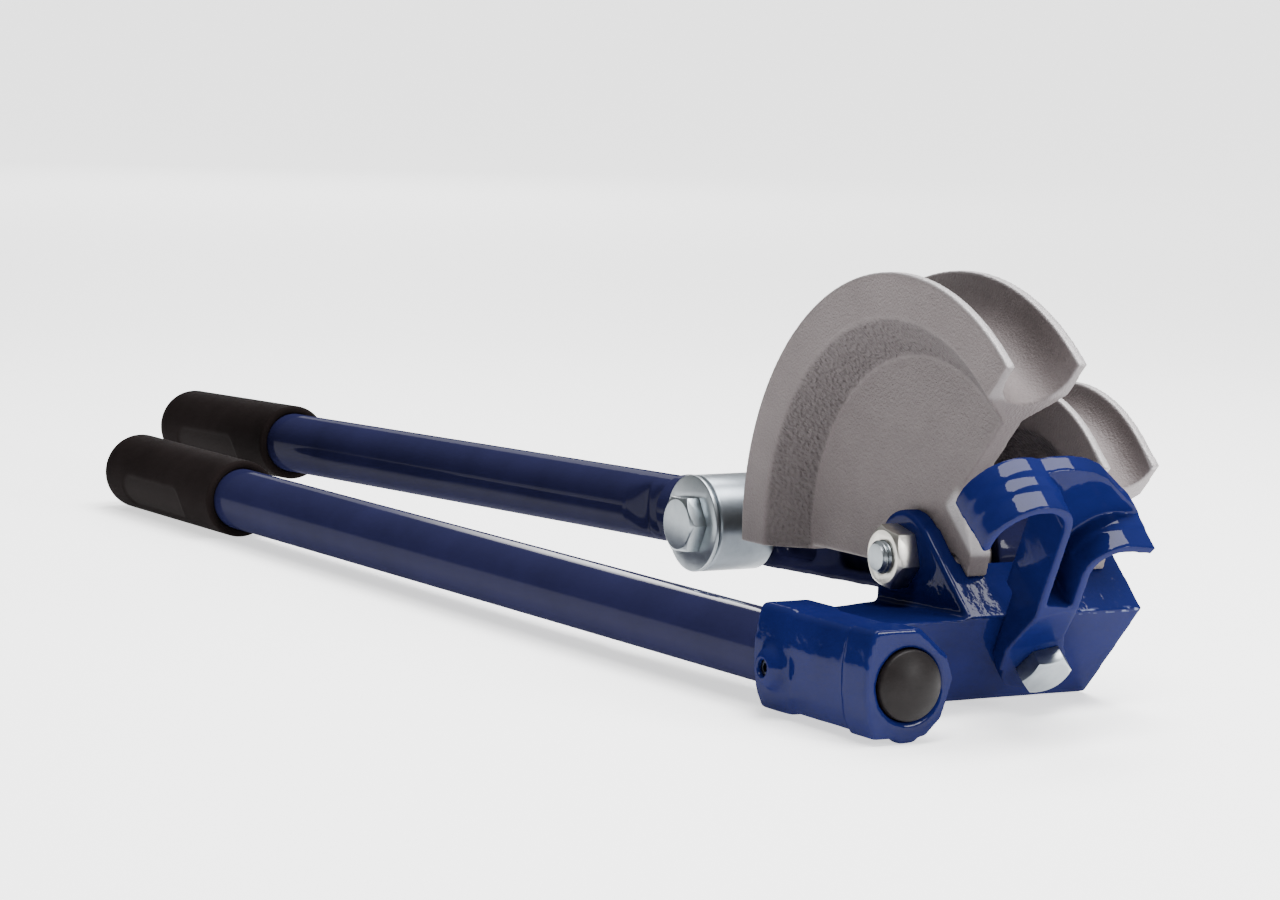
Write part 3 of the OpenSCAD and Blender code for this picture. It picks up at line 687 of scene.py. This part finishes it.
# handle tubes
tubeLook = {
    "d": 22.0, "wall": 1.5, "segments": 96, "stations": 40,
    "glossFrom": 0.925, "glossFull": 0.985, "glossRun": 190,
}
fixedTube = {"from": -468.5, "to": 56.3, "y": -33.2, "z": -27.0, "gloss": -270}
movingTube = {
    "from": -530.5, "to": -147.0, "y": 17.35, "gloss": 0,
    "dent": 3.35, "dentFlat": 12.0, "dentRun": 10.0, "least": 0.01,
    "soft": 0.9, "softReach": 8, "softDrop": 0.1,
    "ridgeAt": 7.4, "ridgeHalf": 2.0, "ridgeShare": 0.55, "endShare": 0.35, "markEvery": 0.6, "marks": 60,
}


def tubeMesh(name, stations, squash, matrix, gloss):
    # an open ended tube with an inner wall; squash moves the points of a ring
    bm = bmesh.new()
    n = tubeLook["segments"]
    shells = []
    for wall in (0.0, tubeLook["wall"]):
        rings = []
        for x in stations:
            ring = []
            for k in range(n):
                a = 2 * math.pi * k / n
                r = tubeLook["d"] / 2
                y, z = squash(x, r * math.cos(a), r * math.sin(a), wall)
                ring.append(bm.verts.new((x, y, z)))
            rings.append(ring)
        shells.append(rings)
    for shell, flip in zip(shells, (False, True)):
        for near, far in zip(shell, shell[1:]):
            for k in range(n):
                quad = (near[k], near[(k + 1) % n], far[(k + 1) % n], far[k])
                bm.faces.new(quad[::-1] if flip else quad)
    for end in (0, -1):
        for k in range(n):
            outer, inner = shells[0][end], shells[1][end]
            quad = (outer[k], outer[(k + 1) % n], inner[(k + 1) % n], inner[k])
            bm.faces.new(quad)
    bmesh.ops.recalc_face_normals(bm, faces=bm.faces)
    layer = bm.verts.layers.float.new("polished")
    # the upper side is glossier from a place along the tube
    lowGloss = tubeLook["glossFrom"] * tubeLook["d"] / 2
    fullGloss = tubeLook["glossFull"] * tubeLook["d"] / 2
    for v in bm.verts:
        top = float(step(np.float64(v.co.z), lowGloss, fullGloss))
        v[layer] = top * float(step(np.float64(v.co.x), gloss, gloss + tubeLook["glossRun"]))
    bm.transform(matrix)
    mesh = bpy.data.meshes.new(name)
    bm.to_mesh(mesh)
    bm.free()
    mesh.shade_smooth()
    return mesh


def plainRing(x, y, z, wall):
    k = 1 - wall / (tubeLook["d"] / 2)
    return y * k, z * k


def dentedRing(x, y, z, wall):
    look = movingTube
    k = 1 - wall / (tubeLook["d"] / 2)
    y, z = y * k, z * k
    fromEnd = look["to"] - x
    rampEnd = look["dentFlat"] + look["dentRun"]
    deep = look["dent"] * (1 - float(step(np.float64(fromEnd), look["dentFlat"], rampEnd)))
    # a ridge stands between the two crimps, and the tube opens again at its end
    ridge = look["ridgeShare"] * math.exp(-((fromEnd - look["ridgeAt"]) / look["ridgeHalf"]) ** 2)
    mouth = look["endShare"] * math.exp(-(fromEnd / look["ridgeHalf"]) ** 2)
    deep = deep * (1 - ridge - mouth)
    limit = -tubeLook["d"] / 2 + deep + wall
    # the pressed flat runs into the round in a soft bend
    gap = (y - limit) / look["soft"]
    if gap > look["softReach"] or deep < look["least"]:
        return y, z
    return limit + look["soft"] * math.log1p(math.exp(gap)) - look["soft"] * look["softDrop"], z


def stationsOf(look, extra=()):
    count = tubeLook["stations"]
    marks = [look["from"] + (look["to"] - look["from"]) * k / count for k in range(count + 1)]
    return sorted(set(marks) | set(extra))


fixedMesh = tubeMesh("fixedTubeMesh", stationsOf(fixedTube), plainRing,
                     toolFrame @ Matrix.Translation((0, fixedTube["y"], fixedTube["z"])),
                     fixedTube["gloss"])
place3d("fixedHandle", fixedMesh, tubePaint, "frame", "blue_paint", "fixed_handle_tube")
dentMarks = [movingTube["to"] - movingTube["markEvery"] * k for k in range(movingTube["marks"])]
movingMesh = tubeMesh("movingTubeMesh", stationsOf(movingTube, dentMarks), dentedRing,
                      leverFrame @ Matrix.Translation((0, movingTube["y"], 0)), movingTube["gloss"])
place3d("movingHandle", movingMesh, tubePaint, "lever_arm", "blue_paint", "moving_handle_tube")
print("handle tubes made")


# grips
gripLook = {
    "d": 28.0, "length": 99.0, "round": 9.0, "bore": 11.0, "wall": 8.0, "rimRound": 1.2, "segments": 128,
    "panelFrom": 22.0, "panelTo": 74.0, "panelHalf": 15.0, "panelDip": 0.45,
    "panelShare": 2.2, "panelEdge": (0.86, 1.05),
    "mouth": 0.6, "room": 0.02, "fixedEnd": -476.5, "movingEnd": -538.5, "facing": 180 + 22,
}


def gripMesh(name, matrix, facing):
    look = gripLook
    r = look["d"] / 2
    outline = []
    for k in range(15):
        a = math.pi / 2 * k / 14
        outline.append((look["round"] - look["round"] * math.cos(a),
                        r - look["round"] + look["round"] * math.sin(a)))
    span = look["length"] - look["round"] - look["rimRound"]
    for k in range(1, 90):
        outline.append((look["round"] + span * k / 90, r))
    for k in range(7):
        a = math.pi / 2 * k / 6
        outline.append((look["length"] - look["rimRound"] + look["rimRound"] * math.sin(a),
                        r - look["rimRound"] + look["rimRound"] * math.cos(a)))
    outline += [(look["length"], look["bore"] + look["mouth"]),
                (look["length"] - look["mouth"], look["bore"] + look["room"]),
                (look["wall"], look["bore"] + look["room"])]
    mid = (look["panelFrom"] + look["panelTo"]) / 2
    half = (look["panelTo"] - look["panelFrom"]) / 2
    panelR = look["panelHalf"] / look["panelShare"]
    bm = bmesh.new()
    n = look["segments"]
    layer = bm.verts.layers.float.new("smoothPanel")
    rings = []
    tip = bm.verts.new((0, 0, 0))
    for x, rad in outline:
        ring = []
        for k in range(n):
            a = 2 * math.pi * k / n
            across = r * math.remainder(a - facing, 2 * math.pi)
            # a long oval panel pressed slightly into the side
            oval = max(0.0, abs(x - mid) - (half - panelR))
            away = math.hypot(oval / panelR, across / panelR)
            inside = 1 - float(step(np.float64(away), *look["panelEdge"]))
            dip = look["panelDip"] * inside if rad > r - 0.5 else 0.0
            v = bm.verts.new((x, (rad - dip) * math.cos(a), (rad - dip) * math.sin(a)))
            v[layer] = inside if rad > r - 0.5 else 0.0
            ring.append(v)
        rings.append(ring)
    for near, far in zip(rings, rings[1:]):
        for k in range(n):
            bm.faces.new((near[k], near[(k + 1) % n], far[(k + 1) % n], far[k]))
    for k in range(n):
        bm.faces.new((tip, rings[0][(k + 1) % n], rings[0][k]))
    bm.faces.new(rings[-1])
    bmesh.ops.recalc_face_normals(bm, faces=bm.faces)
    bm.transform(matrix)
    mesh = bpy.data.meshes.new(name)
    bm.to_mesh(mesh)
    bm.free()
    mesh.shade_smooth()
    return mesh


gripFacing = math.radians(gripLook["facing"])
fixedGripEnd = Matrix.Translation((gripLook["fixedEnd"], fixedTube["y"], fixedTube["z"]))
fixedGripMesh = gripMesh("fixedGripMesh", toolFrame @ fixedGripEnd, gripFacing)
place3d("fixedGrip", fixedGripMesh, blackRubber, "frame", "black_rubber", "fixed_grip")
movingGripEnd = Matrix.Translation((gripLook["movingEnd"], movingTube["y"], 0))
movingGripMesh = gripMesh("movingGripMesh", leverFrame @ movingGripEnd, gripFacing)
place3d("movingGrip", movingGripMesh, blackRubber, "lever_arm", "black_rubber", "moving_grip")
print("grips made")


# bolts, nuts, washers and rollers: the CAD shape with its edges broken
hardwareLook = {
    "pivot_nut": ("pivotNut", "frame", warmZinc, 0.00025),
    "pivot_bolt": ("pivotBolt", "frame", zincSteel, 0.00025),
    "pivot_sleeve": ("pivotSleeve", "frame", zincSteel, 0.0002),
    "lock_screw": ("lockScrew", "frame", darkSteel, 0.00015),
    "stop_bolt": ("stopBolt", "frame", zincSteel, 0.00025),
    "large_roller": ("largeRoller", "roller_large", rollerZinc, 0.0003),
    "large_roller_bush": ("largeRollerBush", "lever_arm", zincSteel, 0.0002),
    "large_roller_washer": ("largeRollerWasher", "lever_arm", zincSteel, 0.0004),
    "large_roller_bolt": ("largeRollerBolt", "lever_arm", zincSteel, 0.00025),
    "large_roller_nut": ("largeRollerNut", "lever_arm", zincSteel, 0.00025),
    "small_roller": ("smallRoller", "roller_small", rollerZinc, 0.0003),
    "small_roller_bush": ("smallRollerBush", "lever_arm", zincSteel, 0.0002),
    "small_roller_washer": ("smallRollerWasher", "lever_arm", zincSteel, 0.0004),
    "small_roller_bolt": ("smallRollerBolt", "lever_arm", zincSteel, 0.00025),
}


# millimetres to the pivot bolt's head, and angles in degrees
hardwareShape = {"headFrom": 66.95, "flat": 1.0, "sharp": 24, "crease": 40}


def makeHardware(nodeName, pieceName, body, material, edge):
    shape = hardwareShape
    mesh = weldedCopy(nodeName)
    bm = bmesh.new()
    bm.from_mesh(mesh)
    if nodeName == "pivot_bolt":
        # only the head is kept here, since the shank is turned with its thread
        local = toolFrame.inverted()
        shank = [f for f in bm.faces if all((local @ v.co).y < shape["headFrom"] for v in f.verts)]
        bmesh.ops.delete(bm, geom=shank, context="FACES")
        rim = [e for e in bm.edges if e.is_boundary]
        if rim:
            bmesh.ops.holes_fill(bm, edges=rim, sides=0)
    bmesh.ops.dissolve_limit(bm, angle_limit=math.radians(shape["flat"]), verts=bm.verts, edges=bm.edges)
    least = math.radians(shape["sharp"])
    sharp = [e for e in bm.edges if len(e.link_faces) == 2 and e.calc_face_angle(0) > least]
    bmesh.ops.bevel(bm, geom=sharp, offset=edge, segments=2, profile=0.5, affect="EDGES",
                    clamp_overlap=True)
    bm.to_mesh(mesh)
    bm.free()
    mesh.shade_smooth()
    mesh.set_sharp_from_angle(angle=math.radians(shape["crease"]))
    place3d(pieceName, mesh, material, body, "zinc_steel", nodeName)


for nodeName, (pieceName, body, material, edge) in hardwareLook.items():
    makeHardware(nodeName, pieceName, body, material, edge)
print("hardware made")


# turned pieces, given as places along an axis and radii
def turned(name, outline, matrix, segments=96):
    bm = bmesh.new()
    rings = []
    angles = [2 * math.pi * k / segments for k in range(segments)]
    for x, r in outline:
        rings.append([bm.verts.new((x, r * math.cos(a), r * math.sin(a))) for a in angles])
    for near, far in zip(rings, rings[1:]):
        for k in range(segments):
            n = (k + 1) % segments
            bm.faces.new((near[k], near[n], far[n], far[k]))
    bm.faces.new(rings[0][::-1])
    bm.faces.new(rings[-1])
    bmesh.ops.recalc_face_normals(bm, faces=bm.faces)
    bm.transform(matrix)
    mesh = bpy.data.meshes.new(name)
    bm.to_mesh(mesh)
    bm.free()
    mesh.shade_smooth()
    return mesh


plugShape = {
    "from": 46.3, "seat": 56.3, "rim": 63.1, "stemR": 9.45, "headR": 10.3, "domeR": 18.0,
    "soft": 0.5, "tip": 0.4, "step": 0.3, "inset": 0.25,
}


def makePlug(shape):
    crown = shape["domeR"] - math.sqrt(shape["domeR"] ** 2 - shape["headR"] ** 2)
    middle = shape["rim"] + crown - shape["domeR"]
    tip, stepIn = shape["tip"], shape["step"]
    outline = [(shape["from"], shape["stemR"] - tip), (shape["from"] + tip, shape["stemR"]),
               (shape["seat"], shape["stemR"]), (shape["seat"], shape["headR"] - stepIn),
               (shape["seat"] + stepIn, shape["headR"]), (shape["rim"] - shape["soft"], shape["headR"])]
    widest = math.asin((shape["headR"] - shape["inset"]) / shape["domeR"])
    for k in range(25):
        a = widest * (1 - k / 24.5)
        outline.append((middle + shape["domeR"] * math.cos(a), shape["domeR"] * math.sin(a)))
    mesh = turned("plugMesh", outline, toolFrame @ Matrix.Translation((0, fixedTube["y"], fixedTube["z"])))
    place3d("socketPlug", mesh, plugPlastic, "frame", "black_plastic", "socket_plug")


makePlug(plugShape)
print("plug made")

boltShape = {"from": -5.1, "to": 66.9, "r": 5.0, "pitch": 1.5, "depth": 0.75, "threads": 6, "tip": 0.9}


def makeThreadedEnd(shape):
    # the pivot bolt's shank, its thread drawn as rings; the bolt's hexagon head is a piece of its own
    outline = [(shape["from"], shape["r"] - 1.9), (shape["from"] + 0.12, shape["r"] - shape["tip"] - 0.1)]
    x = shape["from"] + 0.55
    for _ in range(shape["threads"]):
        outline += [(x, shape["r"] - shape["depth"]), (x + 0.3, shape["r"] - shape["depth"] * 0.55),
                    (x + 0.62, shape["r"] - 0.06), (x + 0.88, shape["r"] - 0.06),
                    (x + 1.2, shape["r"] - shape["depth"] * 0.55)]
        x += shape["pitch"]
    outline += [(x, shape["r"] - 0.06), (shape["to"], shape["r"] - 0.06)]
    along = toolFrame @ turn(90, "Z")
    mesh = turned("pivotThreadMesh", outline, along)
    mesh.set_sharp_from_angle(angle=math.radians(50))
    place3d("pivotThread", mesh, zincSteel, "frame", "zinc_steel")


makeThreadedEnd(boltShape)
print("thread made")

# studio
studioLook = {
    "floor": (0.93, 0.93, 0.93),
    "zenith": 0.9,
    "horizon": 0.12,
    "floorGlow": 1.15,
    "farGlow": 2.1,
    "glowRun": (0.9, 2.5),
    "lens": 127.5346,
    "eye": (1.333652, -0.748606, 0.230468),
    "right": (0.502432, 0.864148, 0.028449),
    "up": (-0.115657, 0.034564, 0.992688),
    "ahead": (-0.856846, 0.502049, -0.117311),
    "roomAxis": (-0.25, 0.30, 0.92),
    "roomRun": (0.25, 0.9),
    "backAxis": (-0.863, 0.505, 0.0),
}
# name, width, power, place, what it faces, height
lampLook = [
    ("overhead", 1.50, 49, (0.50, 0.10, 1.30), (0.25, 0.02, 0.03), 0.50),
    ("rightBox", 0.5, 20, (1.53, 0.62, 0.52), (0.27, -0.02, 0.02), 0.4),
    ("handleBox", 0.4, 16, (-0.35, 0.35, 1.2), (-0.15, 0.0, 0.0), 0.6),
    ("backBox", 0.45, 9, (-2.07, 0.91, 0.75), (0.08, -0.04, 0.02), 0.8),
]


def makeFloor(look):
    bm = bmesh.new()
    bmesh.ops.create_grid(bm, x_segments=2, y_segments=2, size=16.0)
    mesh = bpy.data.meshes.new("floorMesh")
    bm.to_mesh(mesh)
    bm.free()
    floor = bpy.data.objects.new("floor", mesh)
    bpy.context.scene.collection.objects.link(floor)
    mat, tree, shader = newMaterial("paleFloor")
    shader.inputs["Base Color"].default_value = (*look["floor"], 1)
    shader.inputs["Roughness"].default_value = 0.6
    shader.inputs["Specular IOR Level"].default_value = 0.1
    shader.inputs["Emission Color"].default_value = (1, 1, 1, 1)
    # the floor glows more far behind the tool, where the lamps reach it less
    behind = addNode(tree, "ShaderNodeVectorMath", operation="DOT_PRODUCT")
    behind.inputs[1].default_value = look["backAxis"]
    link(tree, objectPoint(tree), behind.inputs[0])
    glow = spread(tree, behind.outputs["Value"], look["floorGlow"], look["farGlow"], *look["glowRun"])
    link(tree, glow, shader.inputs["Emission Strength"])
    mesh.materials.append(mat)
    floor.location.z = -0.00005


def makeLight(name, size, power, spot, target, tall):
    data = bpy.data.lights.new(name, "AREA")
    data.energy = power
    data.size = size
    data.shape = "RECTANGLE"
    data.size_y = tall
    lamp = bpy.data.objects.new(name, data)
    lamp.location = spot
    lamp.rotation_mode = "QUATERNION"
    lamp.rotation_quaternion = (Vector(target) - Vector(spot)).to_track_quat("-Z", "Y")
    bpy.context.scene.collection.objects.link(lamp)


def makeStudio(look):
    makeFloor(look)
    world = bpy.data.worlds.new("studio")
    bpy.context.scene.world = world
    world.use_nodes = True
    tree = world.node_tree
    back = tree.nodes["Background"]
    back.inputs["Color"].default_value = (1, 1, 1, 1)
    # the room is dim near the horizon and brighter overhead, more so behind the tool
    facing = addNode(tree, "ShaderNodeVectorMath", operation="DOT_PRODUCT")
    facing.inputs[1].default_value = look["roomAxis"]
    link(tree, addNode(tree, "ShaderNodeTexCoord").outputs["Generated"], facing.inputs[0])
    level = spread(tree, facing.outputs["Value"], look["horizon"], look["zenith"], *look["roomRun"])
    link(tree, level, back.inputs["Strength"])
    for lamp in lampLook:
        makeLight(*lamp)
    eye = bpy.data.cameras.new("photoView")
    eye.lens = look["lens"]
    eye.sensor_width = 36.0
    camera = bpy.data.objects.new("photoView", eye)
    r, u, f = Vector(look["right"]), Vector(look["up"]), Vector(look["ahead"])
    camera.matrix_world = Matrix((
        (r.x, u.x, -f.x, look["eye"][0]),
        (r.y, u.y, -f.y, look["eye"][1]),
        (r.z, u.z, -f.z, look["eye"][2]),
        (0, 0, 0, 1)))
    bpy.context.scene.collection.objects.link(camera)
    bpy.context.scene.camera = camera


makeStudio(studioLook)
print("studio ready")
